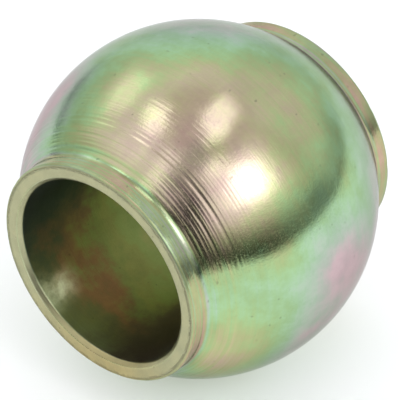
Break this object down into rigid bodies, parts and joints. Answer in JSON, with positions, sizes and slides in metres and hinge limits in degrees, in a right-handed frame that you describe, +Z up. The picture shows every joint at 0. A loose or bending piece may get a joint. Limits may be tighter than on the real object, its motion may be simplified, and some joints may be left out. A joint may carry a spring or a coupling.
{
  "type": "hollow hitch ball",
  "caption": "Hollow steel ball with a plain through bore and a short flat-ended collar at each end, which rides on a hitch pin inside the round socket of a linkage arm.",
  "frame": {"origin": "centre of the ball, on the bore's axis, midway between the two end faces", "axes": "+X along the bore, +Z up with the bore level, as the ball sits on its pin in use. The shape is the same at both ends and all round the bore"},
  "size_m": [0.051, 0.06, 0.06],
  "materials": {
    "yellow_zinc_plate": "turned steel, zinc plated, iridescent yellow chromate"
  },
  "bodies": {
    "root": {"hitch_ball": "yellow_zinc_plate"}
  },
  "joints": []
}
